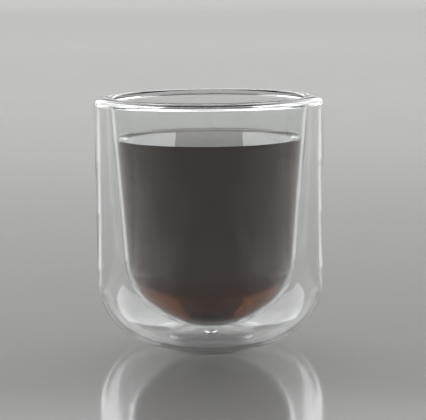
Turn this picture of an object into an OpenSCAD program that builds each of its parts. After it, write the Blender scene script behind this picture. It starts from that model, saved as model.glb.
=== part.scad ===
// Double walled glass cup.
// Two blown glasses, a straight outer one and a tapered bowl, melted together
// along one domed rim, with a closed jacket of still air between them.
// All lengths are in millimetres. The origin is the centre of the foot, on the table.

/* [Outer glass] */
// Diameter over the straight outer wall
outer_d = 83; // [78:0.5:92]
// Height from the table to the crest of the rim
cup_h = 91.2; // [84:0.2:104]
// Thickness of the outer wall
outer_wall = 1.6; // [1.2:0.1:2.2]
// Radius of the large curve at the bottom of the wall
corner_r = 22.2; // [19:0.2:24]
// Angle that the large curve turns before the flatter heel curve takes over
corner_turn = 63; // [52:1:66]
// Slope of the heel curve where it meets the foot
heel_slope = 10.5; // [6:0.5:14]
// Diameter of the foot
foot_d = 34.4; // [30:0.2:37]
// Width of the flat ring that stands on the table
foot_ring_w = 2; // [1:0.1:3]
// Height of the punt, the pushed up middle of the base
punt_rise = 1.2; // [0.8:0.1:1.8]
// Thickness of the glass over the punt
base_t = 1.8; // [1.4:0.1:2.6]

/* [Inner bowl] */
// Width of the air jacket at the weld, between the two walls
jacket_gap = 4.1; // [3.2:0.1:4.8]
// Depth of the air jacket under the bowl, above the middle of the base
floor_gap = 3.9; // [2.5:0.1:6]
// Thickness of the bowl's wall
bowl_wall = 1.5; // [1.2:0.1:2]
// Angle that the bowl's wall leans inwards towards the bottom
bowl_taper = 4.35; // [2:0.05:6]
// Radius of the large curve at the bottom of the bowl
bowl_corner_r = 26; // [20:0.5:28]
// Radius of the shallow dish of the bowl's floor
bowl_dish_r = 57; // [48:1:68]

/* [Fused rim] */
// Height of the melted band, from the weld plane to the crest
rim_h = 4.6; // [4.4:0.1:7]
// Glass between the crest and the top of the air jacket
rim_t = 1.7; // [1.4:0.1:2.4]
// Radius of the two edges of the jacket's top
jacket_edge_r = 1.1; // [0.6:0.1:1.3]
// Distance from the outer wall to the crest
crest_inset = 4.8; // [3.6:0.1:5.2]
// Radius of the domed crown of the rim
crown_r = 8.5; // [7:0.1:12]
// Radius of the rim's outer edge
lip_edge_r = 1.5; // [1:0.1:2]
// Radius of the rim's inner edge, at the mouth
mouth_edge_r = 1.1; // [0.7:0.1:1.3]

/* [Vent seal] */
// Diameter of the vent hole in the middle of the base
vent_d = 3; // [2:0.1:4]
// Diameter of the two heads of the drop of glass that closes the vent
seal_head_d = 5; // [4.4:0.1:6]
// How far each head stands out of the base
seal_head_h = 0.5; // [0.3:0.05:0.7]

/* [Hidden] */

// Facets of a full circle
$fn = 180;

// Where each main surface lies
outer_r = outer_d / 2;
foot_r = foot_d / 2;
weld_z = cup_h - rim_h;
jacket_r = outer_r - outer_wall;
bowl_weld_r = jacket_r - jacket_gap;
bowl_z = punt_rise + base_t + floor_gap;

// How far a small round is drawn past the arcs and walls that it runs into, so that
// outlines that only touch always merge
blend_overlap = 0.002;

// A direction in the section, from an angle above the outward horizontal
function heading(angle) = [cos(angle), sin(angle)];

// How far to go from a point along a unit direction until the distance to a centre is reach
function travel(from, direction, centre, reach) =
    let (gap = from - centre, along = gap * direction)
    -along + sqrt(along * along - gap * gap + reach * reach);

// Outer outline: the wall, the corner arc and the heel arc run into each other smoothly,
// and the heel arc meets the foot at its stated slope
heel_r = (outer_r - foot_r - corner_r * (1 - cos(corner_turn)))
    / (cos(corner_turn) - sin(heel_slope));
heel_centre = [foot_r, 0] - heel_r * heading(heel_slope - 90);
corner_centre = heel_centre + (heel_r - corner_r) * heading(-corner_turn);

// Punt: one dome through the inner edge of the standing ring
punt_r = foot_r - foot_ring_w;
punt_dome_r = (punt_r * punt_r + punt_rise * punt_rise) / (2 * punt_rise);
punt_centre = [0, punt_rise - punt_dome_r];

// Bowl: outward and upward directions of its leaning wall
bowl_out = heading(-bowl_taper);
bowl_up = heading(90 - bowl_taper);
bowl_weld = [bowl_weld_r, weld_z];
dish_centre = [0, bowl_z + bowl_dish_r];
bowl_corner_track = bowl_weld - bowl_corner_r * bowl_out;
bowl_corner_centre = bowl_corner_track
    - bowl_up * travel(bowl_corner_track, -bowl_up, dish_centre, bowl_dish_r - bowl_corner_r);
dish_dir = bowl_corner_centre - dish_centre;
dish_angle = atan2(dish_dir[1], dish_dir[0]);

// Rim: the crown arc, and the two edge arcs that run smoothly into it and into the walls
crown_centre = [outer_r - crest_inset, cup_h - crown_r];
lip_track = [outer_r - lip_edge_r, crown_centre[1]];
lip_centre = lip_track + [0, travel(lip_track, [0, 1], crown_centre, crown_r - lip_edge_r)];
mouth_track = bowl_weld - (bowl_wall - mouth_edge_r) * bowl_out;
mouth_centre = mouth_track
    + bowl_up * travel(mouth_track, bowl_up, crown_centre, crown_r - mouth_edge_r);
lip_dir = lip_centre - crown_centre;
mouth_dir = mouth_centre - crown_centre;
lip_angle = atan2(lip_dir[1], lip_dir[0]);
mouth_angle = atan2(mouth_dir[1], mouth_dir[0]);

// Flat top of the air jacket, and the two edge arcs that run smoothly into both walls
jacket_top_z = cup_h - rim_t;
jacket_edge_z = jacket_top_z - jacket_edge_r;
jacket_out_centre = [jacket_r - jacket_edge_r, jacket_edge_z];
jacket_in_track = bowl_weld + jacket_edge_r * bowl_out;
jacket_in_centre = jacket_in_track
    + bowl_up * (jacket_edge_z - jacket_in_track[1]) / bowl_up[1];

// Vent seal: each head is a lens whose face is one arc, and whose rim lies on the base
vent_r = vent_d / 2;
seal_head_r = seal_head_d / 2;

// Height of a dome of the base at a distance from the axis
function dome_z(dome_r, r) = punt_centre[1] + sqrt(dome_r * dome_r - r * r);

// Radius of the arc through a tip on the axis and a rim that lies a height away from it
function lens_r(rim_r, height) = (rim_r * rim_r + height * height) / (2 * height);

// The slice of a circle between two angles
module slice(centre, radius, from, to) {
    intersection() {
        translate(centre) circle(radius);
        polygon([
            centre, centre + 2 * radius * heading(from),
            centre + 2 * radius * heading((from + to) / 2), centre + 2 * radius * heading(to)
        ]);
    }
}

// A small round that runs into larger arcs or straight walls
module blend(centre, radius) {
    translate(centre) circle(radius + blend_overlap);
}

// Everything between the axis and a wall, and between two heights
module band(low, high, wall_r = outer_d) {
    translate([0, low]) square([wall_r, high - low]);
}

// Half section of the outer glass if it were solid, with its surface moved inwards by inset
module outer_outline(inset) {
    wall_r = outer_r - inset;
    floor_z = inset * cos(heel_slope);
    intersection() {
        union() {
            slice(heel_centre, heel_r - inset, -90, -corner_turn);
            blend(corner_centre, corner_r - inset);
            polygon([
                [0, floor_z], [punt_r, floor_z], [wall_r, corner_centre[1]],
                [wall_r, weld_z], [0, weld_z]
            ]);
        }
        band(floor_z, weld_z, wall_r);
    }
}

// Half section of the bowl if it were solid, with its surface moved inwards by inset
module bowl_outline(inset) {
    wall_foot = bowl_corner_centre + (bowl_corner_r - inset) * bowl_out;
    wall_top = [bowl_weld_r - inset / cos(bowl_taper), weld_z];
    intersection() {
        union() {
            slice(dish_centre, bowl_dish_r - inset, -90, dish_angle);
            blend(bowl_corner_centre, bowl_corner_r - inset);
            polygon([[0, bowl_corner_centre[1]], wall_foot, wall_top, [0, weld_z]]);
        }
        band(0, weld_z);
    }
}

// Half section of all that lies under a dome concentric with the punt
module under_dome(radius) {
    intersection() {
        translate(punt_centre) circle(radius);
        band(-bowl_z, bowl_z);
    }
}

// Half section of the closed end of the air jacket, down to a given height
module jacket_end(low) {
    bowl_face_r = bowl_weld_r - (weld_z - low) * tan(bowl_taper);
    blend(jacket_in_centre, jacket_edge_r);
    blend(jacket_out_centre, jacket_edge_r);
    polygon([
        [bowl_face_r, low], [jacket_r, low], [jacket_r, jacket_edge_z],
        [jacket_out_centre[0], jacket_top_z], [jacket_in_centre[0], jacket_top_z],
        jacket_in_centre - jacket_edge_r * bowl_out
    ]);
}

// Blown outer glass, open at the top, with the vent hole in the middle of its base
module outer_glass() {
    color("lightcyan", 0.35)
    rotate_extrude()
    difference() {
        outer_outline(0);
        difference() {
            outer_outline(outer_wall);
            under_dome(punt_dome_r + base_t);
        }
        under_dome(punt_dome_r);
        square([vent_r, bowl_z]);
    }
}

// Blown bowl that holds the drink and hangs from the rim
module inner_bowl() {
    color("azure", 0.35)
    rotate_extrude()
    difference() {
        bowl_outline(0);
        bowl_outline(bowl_wall);
    }
}

// Domed ring of melted glass that joins the two walls and closes the air jacket
module fused_rim() {
    low = crown_centre[1] - rim_h;
    mouth_face_r = bowl_weld_r - (weld_z - low) * tan(bowl_taper) - bowl_wall / cos(bowl_taper);
    color("aliceblue", 0.5)
    rotate_extrude()
    intersection() {
        difference() {
            union() {
                slice(crown_centre, crown_r, lip_angle, mouth_angle);
                blend(lip_centre, lip_edge_r);
                blend(mouth_centre, mouth_edge_r);
                polygon([
                    [mouth_face_r, low], [outer_r, low], [outer_r, lip_centre[1]],
                    mouth_centre - mouth_edge_r * bowl_out
                ]);
            }
            jacket_end(low);
        }
        band(weld_z, cup_h + rim_h, outer_r);
    }
}

// Drop of glass melted into the vent hole, with a flat head on each side of the base
module vent_seal() {
    low_tip = punt_rise - seal_head_h;
    high_tip = punt_rise + base_t + seal_head_h;
    low_r = lens_r(seal_head_r, dome_z(punt_dome_r, seal_head_r) - low_tip);
    high_r = lens_r(seal_head_r, high_tip - dome_z(punt_dome_r + base_t, seal_head_r));
    color("whitesmoke", 0.6)
    rotate_extrude()
    difference() {
        intersection() {
            translate([0, low_tip + low_r]) circle(low_r);
            translate([0, high_tip - high_r]) circle(high_r);
            band(0, bowl_z);
        }
        difference() {
            under_dome(punt_dome_r + base_t);
            under_dome(punt_dome_r);
            square([vent_r, bowl_z]);
        }
    }
}

outer_glass();
inner_bowl();
fused_rim();
vent_seal();
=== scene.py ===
import math

import bmesh
import bpy
from mathutils import Matrix, Vector


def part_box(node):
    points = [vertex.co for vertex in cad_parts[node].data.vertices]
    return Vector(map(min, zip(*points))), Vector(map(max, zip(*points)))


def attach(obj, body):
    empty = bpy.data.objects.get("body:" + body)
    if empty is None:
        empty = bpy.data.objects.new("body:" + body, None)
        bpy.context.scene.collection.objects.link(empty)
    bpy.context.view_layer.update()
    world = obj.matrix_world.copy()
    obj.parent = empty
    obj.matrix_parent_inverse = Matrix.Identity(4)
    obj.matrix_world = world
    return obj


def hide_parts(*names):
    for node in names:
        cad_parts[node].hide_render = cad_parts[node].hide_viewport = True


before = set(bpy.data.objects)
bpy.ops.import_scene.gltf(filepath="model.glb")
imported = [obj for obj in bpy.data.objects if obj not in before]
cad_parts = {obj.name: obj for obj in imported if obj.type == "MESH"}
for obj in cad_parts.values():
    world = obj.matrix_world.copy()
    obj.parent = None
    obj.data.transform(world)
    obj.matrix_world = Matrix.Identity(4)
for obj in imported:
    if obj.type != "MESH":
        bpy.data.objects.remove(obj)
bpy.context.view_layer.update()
print("frame loaded:", sorted(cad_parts))

mm = 0.001
scene = bpy.context.scene


# Camera, fitted to the outline of the cup in the photograph; turns are in radians
cameraView = {
    "place": (0.0, -0.4494, 0.1235),
    "pan": 0.0025,  # to the right
    "tilt": 0.1637,  # downwards
    "roll": -0.0095,
    "focalPixels": 1242.1,
    "frameWidth": 426,
    "sensorWidth": 36.0,
    "nearClip": 0.01,
}


def makeCamera(values):
    pan, tilt, roll = values["pan"], values["tilt"], values["roll"]
    forward = Vector((
        math.sin(pan) * math.cos(tilt), math.cos(pan) * math.cos(tilt), -math.sin(tilt)
    ))
    level = forward.cross(Vector((0, 0, 1))).normalized()
    upright = level.cross(forward)
    right = level * math.cos(roll) + upright * math.sin(roll)
    up = upright * math.cos(roll) - level * math.sin(roll)
    data = bpy.data.cameras.new("photoCamera")
    data.sensor_width = values["sensorWidth"]
    data.lens = values["focalPixels"] * values["sensorWidth"] / values["frameWidth"]
    data.clip_start = values["nearClip"]
    camera = bpy.data.objects.new("photoCamera", data)
    axes = Matrix((right, up, -forward)).transposed().to_4x4()
    camera.matrix_world = Matrix.Translation(values["place"]) @ axes
    scene.collection.objects.link(camera)
    scene.camera = camera


makeCamera(cameraView)
print("camera ready")


# Profile tools: a profile is a list of (radius, height) points in metres
samePoint = 1e-9  # points closer than this are one
onAxis = 1e-7  # a ring narrower than this is a single point
sameHeight = 1e-6  # heights closer than this are one


def linePoints(start, end, step=0.5 * mm):
    count = max(1, math.ceil(math.dist(start, end) / step))
    return [
        tuple(a + (b - a) * i / count for a, b in zip(start, end))
        for i in range(count + 1)
    ]


def arcPoints(centre, radius, fromAngle, toAngle, step=0.25 * mm, fewest=4):
    sweep = math.radians(abs(toAngle - fromAngle))
    count = max(fewest, math.ceil(sweep * radius / step))
    points = []
    for i in range(count + 1):
        angle = math.radians(fromAngle + (toAngle - fromAngle) * i / count)
        points.append((
            centre[0] + radius * math.cos(angle), centre[1] + radius * math.sin(angle)
        ))
    return points


def evenlySpaced(points, step):
    lengths = [0.0]
    for a, b in zip(points, points[1:]):
        lengths.append(lengths[-1] + math.dist(a, b))
    count = max(2, round(lengths[-1] / step))
    spaced, k = [], 0
    for i in range(count + 1):
        target = lengths[-1] * i / count
        while k < len(lengths) - 2 and lengths[k + 1] < target:
            k += 1
        span = lengths[k + 1] - lengths[k]
        share = (target - lengths[k]) / span if span > 0 else 0.0
        a, b = points[k], points[k + 1]
        spaced.append((a[0] + (b[0] - a[0]) * share, a[1] + (b[1] - a[1]) * share))
    return spaced


# Softens the corners of a profile over a reach, as a flame does, and keeps its two ends;
# each pass spreads a point by its step over the square root of two
def flamePolished(points, reach, step=0.1 * mm):
    spaced = evenlySpaced(points, step)
    passes = max(1, round(2 * (reach / step) ** 2))
    for _ in range(passes):
        inner = [
            ((a[0] + 2 * b[0] + c[0]) / 4, (a[1] + 2 * b[1] + c[1]) / 4)
            for a, b, c in zip(spaced, spaced[1:], spaced[2:])
        ]
        spaced = [spaced[0], *inner, spaced[-1]]
    return spaced


# Drops the points that a smooth profile can do without; maxTurn is in degrees
def thinned(points, maxTurn=2.0, maxStep=2.5 * mm):
    kept, turned, gone = [points[0]], 0.0, 0.0
    for a, b, c in zip(points, points[1:], points[2:]):
        before = math.atan2(b[1] - a[1], b[0] - a[0])
        after = math.atan2(c[1] - b[1], c[0] - b[0])
        turned += abs(math.remainder(after - before, math.tau))
        gone += math.dist(a, b)
        if turned >= math.radians(maxTurn) or gone >= maxStep:
            kept.append(b)
            turned, gone = 0.0, 0.0
    return kept + [points[-1]]


def makeRing(bm, radius, height, segments):
    if radius < onAxis:
        return [bm.verts.new((0, 0, height))]
    turns = [math.tau * i / segments for i in range(segments)]
    return [
        bm.verts.new((radius * math.cos(turn), radius * math.sin(turn), height))
        for turn in turns
    ]


# Turns a profile about the axis; each run is a list of points and the material of its faces
def revolved(name, runs, segments):
    bm = bmesh.new()
    profile, faceKinds = [], []
    for points, kind in runs:
        for point in points[(1 if profile else 0):]:
            profile.append(point)
            faceKinds.append(kind)
    closed = math.dist(profile[0], profile[-1]) < samePoint
    if closed:
        profile.pop()
        faceKinds[0] = faceKinds.pop()
    rings = [makeRing(bm, *point, segments) for point in profile]
    for k in range(0 if closed else 1, len(rings)):  # ring 0 follows the last one
        low, high = rings[k - 1], rings[k]
        for i in range(segments):
            j = (i + 1) % segments
            corners = (
                low[i % len(low)], low[j % len(low)], high[j % len(high)], high[i % len(high)]
            )
            corners = list(dict.fromkeys(corners))  # three where a ring is a point
            if len(corners) > 2:
                face = bm.faces.new(corners)
                face.material_index = faceKinds[k]
                face.smooth = True
    bmesh.ops.recalc_face_normals(bm, faces=bm.faces)
    for edge in bm.edges:
        if len({face.material_index for face in edge.link_faces}) > 1:
            edge.smooth = False
    mesh = bpy.data.meshes.new(name)
    bm.to_mesh(mesh)
    bm.free()
    piece = bpy.data.objects.new(name, mesh)
    scene.collection.objects.link(piece)
    return piece


# Sizes of the cup, as in its CAD source; angles are in degrees
cup = {
    "wall": 1.6 * mm,
    "cornerRadius": 22.2 * mm,
    "cornerTurn": 63.0,  # how far the corner arc goes round before the heel's takes over
    "heelSlope": 10.5,  # of the heel where it meets the foot
    "footRadius": 17.2 * mm,
    "footRing": 2.0 * mm,  # width of the flat ring that stands on the table
    "puntRise": 1.2 * mm,  # of the pushed up middle of the base
    "baseThickness": 1.8 * mm,
    "jacketGap": 4.1 * mm,  # between the two walls, where the rim is welded on
    "bowlWall": 1.5 * mm,
    "bowlTaper": 4.35,
    "bowlCornerRadius": 26.0 * mm,
    "bowlDishRadius": 57.0 * mm,
    "rimGlass": 1.7 * mm,  # between the crest and the air jacket
    "jacketEdgeRadius": 1.1 * mm,
    "crestInset": 4.8 * mm,  # from the outer wall to the crest
    "crownRadius": 8.5 * mm,
    "lipEdgeRadius": 1.5 * mm,
    "mouthEdgeRadius": 1.1 * mm,
    "ventRadius": 1.5 * mm,
    "sealRadius": 2.5 * mm,
    "sealHeight": 0.5 * mm,  # how far each head stands out of the base
    "polish": 0.35 * mm,  # reach of the flame on the walls
    "segments": 240,
}
outerLow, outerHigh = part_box("outer_glass")
outerRadius = min(outerHigh.x, -outerLow.x)
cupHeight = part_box("fused_rim")[1].z
weldHeight = outerHigh.z
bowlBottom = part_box("inner_bowl")[0].z
glassFace, weldFace = 0, 1  # places of the two materials of a glass piece


# A direction in the section, from an angle above the outward horizontal
def heading(degrees):
    return Vector((math.cos(math.radians(degrees)), math.sin(math.radians(degrees))))


def headingOf(direction):
    return math.degrees(math.atan2(direction.y, direction.x))


# How far to go from a point along a unit direction until a centre is reach away
def travel(start, direction, centre, reach):
    gap = start - centre
    along = gap.dot(direction)
    return -along + math.sqrt(along * along - gap.dot(gap) + reach * reach)


# Outer glass: the wall, the corner arc, the heel arc and the punt's dome
turnCos = math.cos(math.radians(cup["cornerTurn"]))
slopeSin = math.sin(math.radians(cup["heelSlope"]))
heelRun = outerRadius - cup["footRadius"] - cup["cornerRadius"] * (1 - turnCos)
heelRadius = heelRun / (turnCos - slopeSin)
heelCentre = Vector((cup["footRadius"], 0)) - heelRadius * heading(cup["heelSlope"] - 90)
cornerCentre = heelCentre + (heelRadius - cup["cornerRadius"]) * heading(-cup["cornerTurn"])
puntEdge = cup["footRadius"] - cup["footRing"]
puntDome = (puntEdge ** 2 + cup["puntRise"] ** 2) / (2 * cup["puntRise"])
puntCentre = Vector((0, cup["puntRise"] - puntDome))
floorDome = puntDome + cup["baseThickness"]

# Bowl: its leaning wall, the corner arc and the dish
jacketRadius = outerRadius - cup["wall"]
bowlOut, bowlUp = heading(-cup["bowlTaper"]), heading(90 - cup["bowlTaper"])
bowlWeld = Vector((jacketRadius - cup["jacketGap"], weldHeight))
bowlWeldInside = bowlWeld - Vector((
    cup["bowlWall"] / math.cos(math.radians(cup["bowlTaper"])), 0
))
dishCentre = Vector((0, bowlBottom + cup["bowlDishRadius"]))
bowlTrack = bowlWeld - cup["bowlCornerRadius"] * bowlOut
bowlCornerCentre = bowlTrack - bowlUp * travel(
    bowlTrack, -bowlUp, dishCentre, cup["bowlDishRadius"] - cup["bowlCornerRadius"]
)
dishAngle = headingOf(bowlCornerCentre - dishCentre)

# Rim: the crown arc and its two edge arcs, and the closed end of the air jacket under it
crownCentre = Vector((outerRadius - cup["crestInset"], cupHeight - cup["crownRadius"]))
lipTrack = Vector((outerRadius - cup["lipEdgeRadius"], crownCentre.y))
lipCentre = lipTrack + Vector((0, travel(
    lipTrack, Vector((0, 1)), crownCentre, cup["crownRadius"] - cup["lipEdgeRadius"]
)))
mouthTrack = bowlWeld - (cup["bowlWall"] - cup["mouthEdgeRadius"]) * bowlOut
mouthCentre = mouthTrack + bowlUp * travel(
    mouthTrack, bowlUp, crownCentre, cup["crownRadius"] - cup["mouthEdgeRadius"]
)
lipAngle = headingOf(lipCentre - crownCentre)
mouthAngle = headingOf(mouthCentre - crownCentre)
jacketEdge = cupHeight - cup["rimGlass"] - cup["jacketEdgeRadius"]
jacketOutCentre = Vector((jacketRadius - cup["jacketEdgeRadius"], jacketEdge))
jacketInTrack = bowlWeld + cup["jacketEdgeRadius"] * bowlOut
jacketInCentre = jacketInTrack + bowlUp * (jacketEdge - jacketInTrack.y) / bowlUp.y


# The base's domes share one centre: puntDome is the radius under it, floorDome over it
def domePoints(radius, fromR, toR):
    start = math.degrees(math.acos(fromR / radius))
    end = math.degrees(math.acos(toR / radius))
    return arcPoints(puntCentre, radius, start, end)


def smoothRun(points):
    return thinned(flamePolished(points, cup["polish"]))


# Where the seal is melted into the base, from the rim of its low head to that of its high head
def sealedRun():
    return (
        domePoints(puntDome, cup["sealRadius"], cup["ventRadius"])
        + domePoints(floorDome, cup["ventRadius"], cup["sealRadius"])
    )


# The outer one of the two points where a circle above meets a circle below
def circlesMeet(below, belowRadius, above, aboveRadius):
    gapX, gapY = above.x - below.x, above.y - below.y
    gap = math.hypot(gapX, gapY)
    along = (gap ** 2 + belowRadius ** 2 - aboveRadius ** 2) / (2 * gap)
    aside = math.sqrt(belowRadius ** 2 - along ** 2)
    return Vector((
        below.x + (along * gapX + aside * gapY) / gap,
        below.y + (along * gapY - aside * gapX) / gap,
    ))


def makeOuterGlass():
    innerHeel, innerCorner = heelRadius - cup["wall"], cup["cornerRadius"] - cup["wall"]
    floorEdge = circlesMeet(puntCentre, floorDome, heelCentre, innerHeel)
    outside = smoothRun(
        linePoints((outerRadius, weldHeight), (outerRadius, cornerCentre.y))
        + arcPoints(cornerCentre, cup["cornerRadius"], 0, -cup["cornerTurn"])
        + arcPoints(heelCentre, heelRadius, -cup["cornerTurn"], cup["heelSlope"] - 90)
        + linePoints((cup["footRadius"], 0), (puntEdge, 0))
        + domePoints(puntDome, puntEdge, cup["sealRadius"])
    )
    inside = smoothRun(
        domePoints(floorDome, cup["sealRadius"], floorEdge.x)
        + arcPoints(heelCentre, innerHeel, headingOf(floorEdge - heelCentre), -cup["cornerTurn"])
        + arcPoints(cornerCentre, innerCorner, -cup["cornerTurn"], 0)
        + linePoints((jacketRadius, cornerCentre.y), (jacketRadius, weldHeight))
    )
    piece = revolved("outerGlass", [
        (outside, glassFace),
        (sealedRun(), weldFace),
        (inside, glassFace),
        ([inside[-1], outside[0]], weldFace),
    ], cup["segments"])
    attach(piece, "root")
    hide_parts("outer_glass")
    return piece


# Down one face of the bowl, from a point on its wall to the axis
def bowlRun(inset, top):
    corner, dish = cup["bowlCornerRadius"] - inset, cup["bowlDishRadius"] - inset
    wallFoot = bowlCornerCentre + corner * bowlOut
    return (
        linePoints(top, wallFoot)
        + arcPoints(bowlCornerCentre, corner, -cup["bowlTaper"], dishAngle)
        + arcPoints(dishCentre, dish, dishAngle, -90)
    )


def makeInnerBowl():
    outside = smoothRun(bowlRun(0, tuple(bowlWeld)))
    inside = smoothRun(bowlRun(cup["bowlWall"], tuple(bowlWeldInside)))
    piece = revolved("innerBowl", [
        (outside[::-1], glassFace),
        ([outside[0], inside[0]], weldFace),
        (inside, glassFace),
    ], cup["segments"])
    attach(piece, "root")
    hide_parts("inner_bowl")
    return piece


# The rim's reach of the flame, and how finely its profile is drawn
rimMelt = {
    "polish": 0.1 * mm,
    "crownStep": 0.1 * mm,
    "edgeStep": 0.05 * mm,
    "longestStep": 1.5 * mm,
}


def smoothRim(points):
    polished = flamePolished(points, rimMelt["polish"], rimMelt["edgeStep"])
    return thinned(polished, maxStep=rimMelt["longestStep"])


def makeFusedRim():
    lip, mouth = cup["lipEdgeRadius"], cup["mouthEdgeRadius"]
    edge, step = cup["jacketEdgeRadius"], rimMelt["edgeStep"]
    leaning = 180 - cup["bowlTaper"]
    crown = smoothRim(
        linePoints((outerRadius, weldHeight), (outerRadius, lipCentre.y))
        + arcPoints(lipCentre, lip, 0, lipAngle, step)
        + arcPoints(crownCentre, cup["crownRadius"], lipAngle, mouthAngle, rimMelt["crownStep"])
        + arcPoints(mouthCentre, mouth, mouthAngle, leaning, step)
        + linePoints(tuple(mouthCentre - mouth * bowlOut), tuple(bowlWeldInside))
    )
    jacket = smoothRim(
        linePoints(tuple(bowlWeld), tuple(jacketInCentre - edge * bowlOut))
        + arcPoints(jacketInCentre, edge, leaning, 90, step)
        + arcPoints(jacketOutCentre, edge, 90, 0, step)
        + linePoints((jacketRadius, jacketEdge), (jacketRadius, weldHeight))
    )
    piece = revolved("fusedRim", [
        (crown, glassFace),
        ([crown[-1], jacket[0]], weldFace),
        (jacket, glassFace),
        ([jacket[-1], crown[0]], weldFace),
    ], cup["segments"])
    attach(piece, "root")
    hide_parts("fused_rim")
    return piece


# The lens face of one head of the seal, from its rim to its tip on the axis
def headPoints(rim, tip, step=0.1 * mm):
    rise = abs(rim[1] - tip)
    radius = (rim[0] ** 2 + rise ** 2) / (2 * rise)
    side = 1 if tip > rim[1] else -1
    centre = (0, tip - side * radius)
    rimAngle = math.degrees(math.atan2(rim[1] - centre[1], rim[0]))
    return arcPoints(centre, radius, rimAngle, side * 90, step)


def makeVentSeal():
    melted = sealedRun()
    lowTip = cup["puntRise"] - cup["sealHeight"]
    highTip = cup["puntRise"] + cup["baseThickness"] + cup["sealHeight"]
    piece = revolved("ventSeal", [
        (headPoints(melted[0], lowTip)[::-1], glassFace),
        (melted, weldFace),
        (headPoints(melted[-1], highTip), glassFace),
    ], cup["segments"])
    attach(piece, "root")
    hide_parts("vent_seal")
    return piece


drink = {
    "level": 75.66 * mm,  # above the table
    "wallGap": 0.06 * mm,  # air between the drink and the bowl
    "meniscusHeight": 0.8 * mm,
    "meniscusReach": 1.3 * mm,
    "reachesDrawn": 8,  # how many reaches from the wall the fine rings cover
    "fineRings": 40,
    "coarseRings": 6,
}


def makeCoffee(values):
    inset = cup["bowlWall"] + values["wallGap"]
    wallFoot = bowlCornerCentre + (cup["bowlCornerRadius"] - inset) * bowlOut
    edgeZ = values["level"] + values["meniscusHeight"]
    edgeR = wallFoot.x + (edgeZ - wallFoot.y) * math.tan(math.radians(cup["bowlTaper"]))
    side = smoothRun(bowlRun(inset, (edgeR, edgeZ)))[::-1]
    top = []
    for i in range(values["fineRings"] + 1):
        share = (i / values["fineRings"]) ** 2
        away = values["reachesDrawn"] * values["meniscusReach"] * share
        rise = values["meniscusHeight"] * math.exp(-away / values["meniscusReach"])
        top.append((edgeR - away, values["level"] + rise))
    innermost = top[-1][0]
    for i in range(1, values["coarseRings"] + 1):
        top.append((innermost * (1 - i / values["coarseRings"]), values["level"]))
    piece = revolved("coffee", [(side, glassFace), (top, glassFace)], cup["segments"])
    for edge in piece.data.edges:
        ends = [piece.data.vertices[v].co.z for v in edge.vertices]
        edge.use_edge_sharp = all(abs(z - edgeZ) < sameHeight for z in ends)
    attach(piece, "root")
    return piece


def newMaterial(name):
    material = bpy.data.materials.new(name)
    material.use_nodes = True
    nodes = material.node_tree.nodes
    return material, nodes, material.node_tree.links, nodes["Principled BSDF"]


# A Mix node has sockets of one name for each kind of data
def colourSocket(sockets, name):
    return next(socket for socket in sockets if socket.name == name and socket.type == "RGBA")


# Slow waves and faint tint of hand blown glass, and the film that a cloth leaves on it
wavePattern = {
    "waveDetail": 1.0,
    "streakDetail": 2.0,
    "filmStart": 0.55,  # the streaks' value at which the film begins, and is full
    "filmFull": 0.75,
}


def makeBlownWaves(values):
    group = bpy.data.node_groups.new("blownWaves", "ShaderNodeTree")
    for name, kind, side in (
        ("Waves Per Metre", "Float", "INPUT"),
        ("Upright Stretch", "Float", "INPUT"),
        ("Streaks Per Metre", "Float", "INPUT"),
        ("Streak Share", "Float", "INPUT"),
        ("Thin Colour", "Color", "INPUT"),
        ("Thick Colour", "Color", "INPUT"),
        ("Clean Roughness", "Float", "INPUT"),
        ("Film Roughness", "Float", "INPUT"),
        ("Height", "Float", "OUTPUT"),
        ("Tint", "Color", "OUTPUT"),
        ("Roughness", "Float", "OUTPUT"),
    ):
        group.interface.new_socket(name, in_out=side, socket_type="NodeSocket" + kind)
    nodes, links = group.nodes, group.links
    given, made = nodes.new("NodeGroupInput"), nodes.new("NodeGroupOutput")

    # the pattern is drawn out along the cup's axis
    place = nodes.new("ShaderNodeTexCoord")
    split, joined = nodes.new("ShaderNodeSeparateXYZ"), nodes.new("ShaderNodeCombineXYZ")
    upright = nodes.new("ShaderNodeMath")
    upright.operation = "MULTIPLY"
    links.new(place.outputs["Object"], split.inputs["Vector"])
    links.new(split.outputs["X"], joined.inputs["X"])
    links.new(split.outputs["Y"], joined.inputs["Y"])
    links.new(split.outputs["Z"], upright.inputs[0])
    links.new(given.outputs["Upright Stretch"], upright.inputs[1])
    links.new(upright.outputs[0], joined.inputs["Z"])
    waves, streaks = nodes.new("ShaderNodeTexNoise"), nodes.new("ShaderNodeTexNoise")
    waves.inputs["Detail"].default_value = values["waveDetail"]
    streaks.inputs["Detail"].default_value = values["streakDetail"]
    for texture, scale in ((waves, "Waves Per Metre"), (streaks, "Streaks Per Metre")):
        links.new(joined.outputs["Vector"], texture.inputs["Vector"])
        links.new(given.outputs[scale], texture.inputs["Scale"])

    height = nodes.new("ShaderNodeMix")
    links.new(given.outputs["Streak Share"], height.inputs["Factor"])
    links.new(waves.outputs[0], height.inputs["A"])
    links.new(streaks.outputs[0], height.inputs["B"])
    links.new(height.outputs["Result"], made.inputs["Height"])

    tint = nodes.new("ShaderNodeMix")
    tint.data_type = "RGBA"
    links.new(waves.outputs[0], tint.inputs["Factor"])
    links.new(given.outputs["Thin Colour"], colourSocket(tint.inputs, "A"))
    links.new(given.outputs["Thick Colour"], colourSocket(tint.inputs, "B"))
    links.new(colourSocket(tint.outputs, "Result"), made.inputs["Tint"])

    film = nodes.new("ShaderNodeMapRange")
    film.inputs["From Min"].default_value = values["filmStart"]
    film.inputs["From Max"].default_value = values["filmFull"]
    links.new(streaks.outputs[0], film.inputs["Value"])
    links.new(given.outputs["Clean Roughness"], film.inputs["To Min"])
    links.new(given.outputs["Film Roughness"], film.inputs["To Max"])
    links.new(film.outputs["Result"], made.inputs["Roughness"])
    return group


blownWaves = makeBlownWaves(wavePattern)


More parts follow.
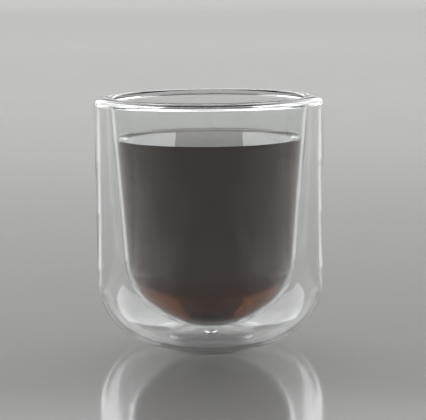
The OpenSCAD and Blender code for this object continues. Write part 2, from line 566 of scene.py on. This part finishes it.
# A clear shader with the waves in its bump, tint and roughness
def wavyClear(nodes, links, shader, look):
    shader.inputs["IOR"].default_value = look["ior"]
    shader.inputs["Transmission Weight"].default_value = 1.0
    waves = nodes.new("ShaderNodeGroup")
    waves.node_tree = blownWaves
    for name, value in look["waves"].items():
        waves.inputs[name].default_value = value
    bump = nodes.new("ShaderNodeBump")
    bump.inputs["Distance"].default_value = look["waveHeight"]
    links.new(waves.outputs["Height"], bump.inputs["Height"])
    links.new(bump.outputs["Normal"], shader.inputs["Normal"])
    links.new(waves.outputs["Tint"], shader.inputs["Base Color"])
    links.new(waves.outputs["Roughness"], shader.inputs["Roughness"])


glassLook = {
    "ior": 1.47,
    "waveHeight": 0.06 * mm,
    "waves": {
        "Waves Per Metre": 55.0,
        "Upright Stretch": 0.45,
        "Streaks Per Metre": 160.0,
        "Streak Share": 0.12,
        "Thin Colour": (0.99, 0.993, 0.992, 1),
        "Thick Colour": (0.975, 0.986, 0.982, 1),
        "Clean Roughness": 0.0,
        "Film Roughness": 0.012,
    },
}


def clearGlass(name):
    material, nodes, links, shader = newMaterial(name)
    wavyClear(nodes, links, shader, glassLook)
    return material


# Faces inside the glass, where two pieces are melted together
def weldedGlass():
    material, nodes, links, shader = newMaterial("weldedGlass")
    nodes.remove(shader)
    clear = nodes.new("ShaderNodeBsdfTransparent")
    links.new(clear.outputs[0], nodes["Material Output"].inputs["Surface"])
    return material


drinkLook = {
    "ior": 1.333,
    "waveHeight": 0.015 * mm,
    "waves": {
        "Waves Per Metre": 90.0,
        "Upright Stretch": 1.0,
        "Streaks Per Metre": 300.0,
        "Streak Share": 0.15,
        "Thin Colour": (1.0, 1.0, 1.0, 1),
        "Thick Colour": (0.93, 0.9, 0.86, 1),
        "Clean Roughness": 0.0,
        "Film Roughness": 0.03,
    },
    "absorbed": (0.42, 0.21, 0.05, 1),
    "density": 100.0,
}


def blackCoffee():
    material, nodes, links, shader = newMaterial("blackCoffee")
    wavyClear(nodes, links, shader, drinkLook)
    absorb = nodes.new("ShaderNodeVolumeAbsorption")
    absorb.inputs["Color"].default_value = drinkLook["absorbed"]
    absorb.inputs["Density"].default_value = drinkLook["density"]
    links.new(absorb.outputs["Volume"], nodes["Material Output"].inputs["Volume"])
    return material


weld = weldedGlass()
glassPieces = [makeOuterGlass(), makeInnerBowl(), makeFusedRim(), makeVentSeal()]
for piece in glassPieces:
    piece.data.materials.append(clearGlass(piece.name + "Clear"))
    piece.data.materials.append(weld)
    print("made", piece.name, len(piece.data.vertices))
coffee = makeCoffee(drink)
coffee.data.materials.append(blackCoffee())
print("made coffee", len(coffee.data.vertices))


# The floor is flat near the cup and curves up into the backdrop on all sides
floorLook = {
    "below": 0.02 * mm,  # under the foot
    "flatRadius": 1.3,
    "flatStep": 0.1,
    "sweepReach": 2.0,
    "sweepHeight": 1.6,
    "sweepPower": 3,
    "sweepRings": 60,
    "segments": 192,
    "colour": (0.52, 0.52, 0.51, 1),
    "roughness": 0.6,
    "shine": 0.1,
    "coat": 0.85,
    "coatRoughness": 0.1,
}


def makeFloor(values):
    flat, low = values["flatRadius"], -values["below"]
    profile = linePoints((0, low), (flat, low), values["flatStep"])
    for i in range(1, values["sweepRings"] + 1):
        share = i / values["sweepRings"]
        rise = values["sweepHeight"] * share ** values["sweepPower"]
        profile.append((flat + values["sweepReach"] * share, low + rise))
    floor = revolved("floor", [(profile, glassFace)], values["segments"])
    material, _, _, shader = newMaterial("paleFloor")
    shader.inputs["Base Color"].default_value = values["colour"]
    shader.inputs["Roughness"].default_value = values["roughness"]
    shader.inputs["Specular IOR Level"].default_value = values["shine"]
    shader.inputs["Coat Weight"].default_value = values["coat"]
    shader.inputs["Coat Roughness"].default_value = values["coatRoughness"]
    floor.data.materials.append(material)
    return floor


# Softboxes: size is width and height, a brightness of 1 is white, and each lights the cup
# or the floor; one in a pair stands on the left, and its twin on the right
cardHeight = 0.002  # of the cards that lie on the floor and face upwards
pairedBoxes = {
    "low": dict(
        place=(-0.369, 1.20, 0.205), aim=(-0.369, 0, 0.205),
        size=(0.60, 0.05), brightness=0.6, lights="cup",
    ),
    "back": dict(
        place=(-0.975, 1.272, 0.91), aim=(-0.01, -0.008, 0.34),
        size=(1.78, 1.27), brightness=2.0, lights="cup",
    ),
    # cards beside the cup, one over another, for the soft fade at the sides of the drink
    "sideInner": dict(
        place=(-0.33, -0.015, cardHeight), aim=(-0.33, -0.015, 1),
        size=(0.50, 0.13), brightness=0.12, lights="cup",
    ),
    "sideMiddle": dict(
        place=(-0.33, -0.045, cardHeight), aim=(-0.33, -0.045, 1),
        size=(0.50, 0.19), brightness=0.1, lights="cup",
    ),
    "sideOuter": dict(
        place=(-0.33, -0.075, cardHeight), aim=(-0.33, -0.075, 1),
        size=(0.50, 0.25), brightness=0.08, lights="cup",
    ),
    "overSide": dict(
        place=(-2.3, -0.3, 1.0), aim=(-2.3, -0.3, 0),
        size=(2.0, 2.6), brightness=0.7, lights="floor",
    ),
}
singleBoxes = {
    "bridge": dict(
        place=(0, 1.8, 1.05), aim=(0, 0, 0.1),
        size=(0.56, 0.30), brightness=2.0, lights="cup",
    ),
    "overBack": dict(
        place=(0, 1.9, 1.0), aim=(0, 1.9, 0),
        size=(4.4, 3.0), brightness=1.1, lights="floor",
    ),
    "overFront": dict(
        place=(0, -2.4, 1.0), aim=(0, -2.4, 0),
        size=(4.4, 2.8), brightness=0.55, lights="floor",
    ),
}

# Cards in a line out from the cup, seen in the edges of its walls: near end, far end,
# width, direction in degrees from straight behind the cup, and brightness
edgeCards = (
    (0.080, 0.105, 0.018, 46, 0.10),
    (0.105, 0.14, 0.020, 45, 0.22),
    (0.14, 0.30, 0.032, 40, 0.38),
    (0.30, 0.55, 0.058, 37.5, 0.38),
    (0.55, 1.50, 0.110, 36.5, 0.38),
)
for i, (near, far, width, azimuth, brightness) in enumerate(edgeCards):
    turn, away = math.radians(azimuth), (near + far) / 2
    x, y = -away * math.sin(turn), away * math.cos(turn)
    pairedBoxes[f"edgeCard{i}"] = dict(
        place=(x, y, cardHeight), aim=(x, y, 1), turn=azimuth,
        size=(width, far - near), brightness=brightness, lights="cup",
    )


# The twin of a softbox on the other side of the cup
def mirrored(box):
    (x, *place), (aimX, *aim) = box["place"], box["aim"]
    return dict(box, place=(-x, *place), aim=(-aimX, *aim), turn=-box.get("turn", 0))


# A list of objects that a lamp takes in or leaves out
def lightList(name, members, state):
    listed = bpy.data.collections.new(name)
    for member in members:
        listed.objects.link(member)
    for entry in listed.collection_objects:
        entry.light_linking.link_state = state
    return listed


floor = makeFloor(floorLook)
receivers = {
    "cup": lightList("allButTheFloor", [floor], "EXCLUDE"),
    "floor": lightList("floorAlone", [floor], "INCLUDE"),
}
clearPieces = lightList("clearPieces", glassPieces, "EXCLUDE")


# Its turn is in degrees about the upright; the glass casts no shadow on the floor
def makeSoftbox(name, place, aim, size, brightness, lights, turn=0):
    data = bpy.data.lights.new(name, "AREA")
    data.shape = "RECTANGLE"
    data.size, data.size_y = size
    data.energy = brightness * math.pi * size[0] * size[1]
    lamp = bpy.data.objects.new(name, data)
    lamp.location = place
    facing = (Vector(aim) - Vector(place)).to_track_quat("-Z", "Y").to_matrix()
    turned = Matrix.Rotation(math.radians(turn), 3, "Z") @ facing
    lamp.rotation_euler = turned.to_euler()
    lamp.visible_camera = False
    lamp.light_linking.receiver_collection = receivers[lights]
    if lights == "floor":
        lamp.light_linking.blocker_collection = clearPieces
    scene.collection.objects.link(lamp)


for name, box in singleBoxes.items():
    makeSoftbox(name, **box)
for name, box in pairedBoxes.items():
    makeSoftbox(name + "Left", **box)
    makeSoftbox(name + "Right", **mirrored(box))


# The surroundings, pale at the horizon and dark above
skyLook = {
    "low": (0.22, 0.22, 0.225, 1),
    "high": (0.07, 0.07, 0.072, 1),
    "fade": 0.12,  # height share at which it has darkened
}


def makeWorld(values):
    world = bpy.data.worlds.new("studio")
    world.use_nodes = True
    nodes, links = world.node_tree.nodes, world.node_tree.links
    place = nodes.new("ShaderNodeTexCoord")
    split = nodes.new("ShaderNodeSeparateXYZ")
    ramp = nodes.new("ShaderNodeValToRGB")
    links.new(place.outputs["Generated"], split.inputs["Vector"])
    links.new(split.outputs["Z"], ramp.inputs["Fac"])
    links.new(ramp.outputs["Color"], nodes["Background"].inputs["Color"])
    start, end = ramp.color_ramp.elements
    start.color, end.color = values["low"], values["high"]
    end.position = values["fade"]
    scene.world = world


makeWorld(skyLook)
clearBounces = 32  # a ray straight through crosses ten faces, a mirrored one more
scene.cycles.max_bounces = clearBounces
scene.cycles.transmission_bounces = clearBounces
scene.cycles.transparent_max_bounces = clearBounces
scene.cycles.glossy_bounces = 12
scene.view_settings.view_transform = "Standard"
print("stage ready")
